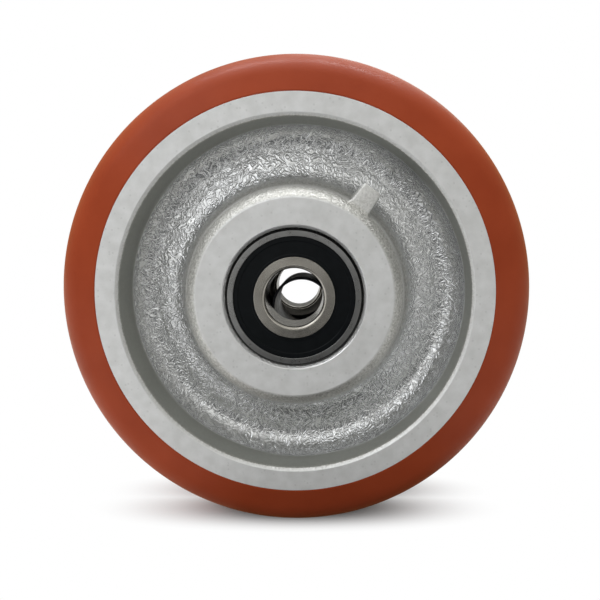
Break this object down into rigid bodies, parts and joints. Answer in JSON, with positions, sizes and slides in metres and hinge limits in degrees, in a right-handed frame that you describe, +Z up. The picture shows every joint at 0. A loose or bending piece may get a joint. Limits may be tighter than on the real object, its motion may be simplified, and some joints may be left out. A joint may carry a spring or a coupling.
{
  "type": "castor wheel",
  "caption": "Heavy-duty castor wheel: an iron core with a bonded polyurethane tread, sealed ball bearings pressed into the hub and a spacer sleeve between them.",
  "frame": {"origin": "centre of the wheel, on the axle's line, midway between the two bearings", "axes": "+Z up, +Y along the axle towards the rear face, +X to the right seen from the front"},
  "size_m": [0.18, 0.06, 0.18],
  "materials": {
    "polyurethane_tread": "satin",
    "silver_lacquer": "satin",
    "ring_steel": "satin",
    "seal_rubber": "satin",
    "ball_steel": "polished",
    "cage_steel": "satin",
    "sleeve_steel": "satin"
  },
  "bodies": {
    "inner_rings": {"front_inner_ring": "ring_steel", "rear_inner_ring": "ring_steel", "spacer_sleeve": "sleeve_steel"},
    "wheel": {"tread": "polyurethane_tread", "wheel_core": "silver_lacquer", "front_outer_ring": "ring_steel", "front_outboard_seal": "seal_rubber", "front_inboard_seal": "seal_rubber", "rear_outer_ring": "ring_steel", "rear_outboard_seal": "seal_rubber", "rear_inboard_seal": "seal_rubber"},
    "front_cage": {"front_ball_1": "ball_steel", "front_ball_2": "ball_steel", "front_ball_3": "ball_steel", "front_ball_4": "ball_steel", "front_ball_5": "ball_steel", "front_ball_6": "ball_steel", "front_ball_7": "ball_steel", "front_ball_8": "ball_steel", "front_cage_outboard_half": "cage_steel", "front_cage_inboard_half": "cage_steel", "front_cage_rivets": "cage_steel"},
    "rear_cage": {"rear_ball_1": "ball_steel", "rear_ball_2": "ball_steel", "rear_ball_3": "ball_steel", "rear_ball_4": "ball_steel", "rear_ball_5": "ball_steel", "rear_ball_6": "ball_steel", "rear_ball_7": "ball_steel", "rear_ball_8": "ball_steel", "rear_cage_outboard_half": "cage_steel", "rear_cage_inboard_half": "cage_steel", "rear_cage_rivets": "cage_steel"}
  },
  "joints": [
    {"name": "wheel_spin", "type": "hinge", "parent": "inner_rings", "child": "wheel", "pos_m": [0, 0, 0], "axis": [0, 1, 0], "continuous": true},
    {"name": "front_cage_spin", "type": "hinge", "parent": "inner_rings", "child": "front_cage", "pos_m": [0, -0.023, 0], "axis": [0, 1, 0], "continuous": true},
    {"name": "rear_cage_spin", "type": "hinge", "parent": "inner_rings", "child": "rear_cage", "pos_m": [0, 0.023, 0], "axis": [0, 1, 0], "continuous": true}
  ],
  "couplings": [
    {"joint": "front_cage_spin", "follows": "wheel_spin", "ratio": 0.61848},
    {"joint": "rear_cage_spin", "follows": "wheel_spin", "ratio": 0.61848}
  ]
}
